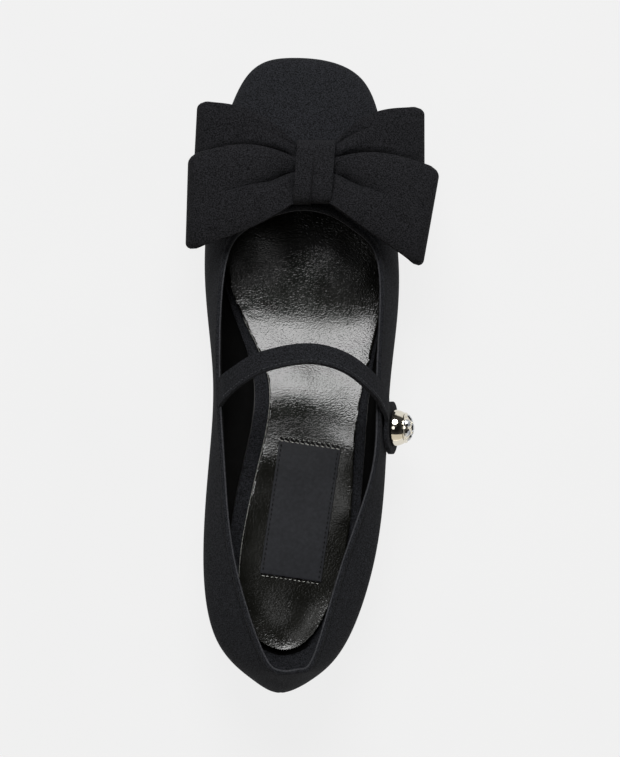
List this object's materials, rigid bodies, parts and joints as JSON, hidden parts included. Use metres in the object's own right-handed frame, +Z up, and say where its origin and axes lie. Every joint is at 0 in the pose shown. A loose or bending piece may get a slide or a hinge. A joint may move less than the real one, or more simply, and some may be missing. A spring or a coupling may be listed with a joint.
{
  "type": "ballet flat",
  "caption": "Right-foot ballet flat with a low heel, square-round toe, instep strap closed by a ball button, and a double ribbon bow on the vamp.",
  "frame": {"origin": "on the floor, under the middle of the shoe's box", "axes": "+X to the lateral side of the right foot, +Y to the toe, +Z up"},
  "size_m": [0.096, 0.246, 0.0689],
  "materials": {
    "crepe": "matt fine-grained crepe",
    "sole_leather": "smooth, half-matt",
    "rubber": "matt",
    "sock_leather": "glazed, fine-grained, glossy",
    "label_satin": "satin weave",
    "gilt_metal": "pale gilt, polished"
  },
  "bodies": {
    "root": {"outsole": "sole_leather", "heel_block": "crepe", "heel_top_piece": "rubber", "insole": "crepe", "sock": "sock_leather", "sock_label": "label_satin", "upper": "crepe", "strap": "crepe", "strap_button": "gilt_metal", "bow_back_medial": "crepe", "bow_back_lateral": "crepe", "bow_front_medial": "crepe", "bow_front_lateral": "crepe", "bow_knot": "crepe"}
  },
  "joints": []
}
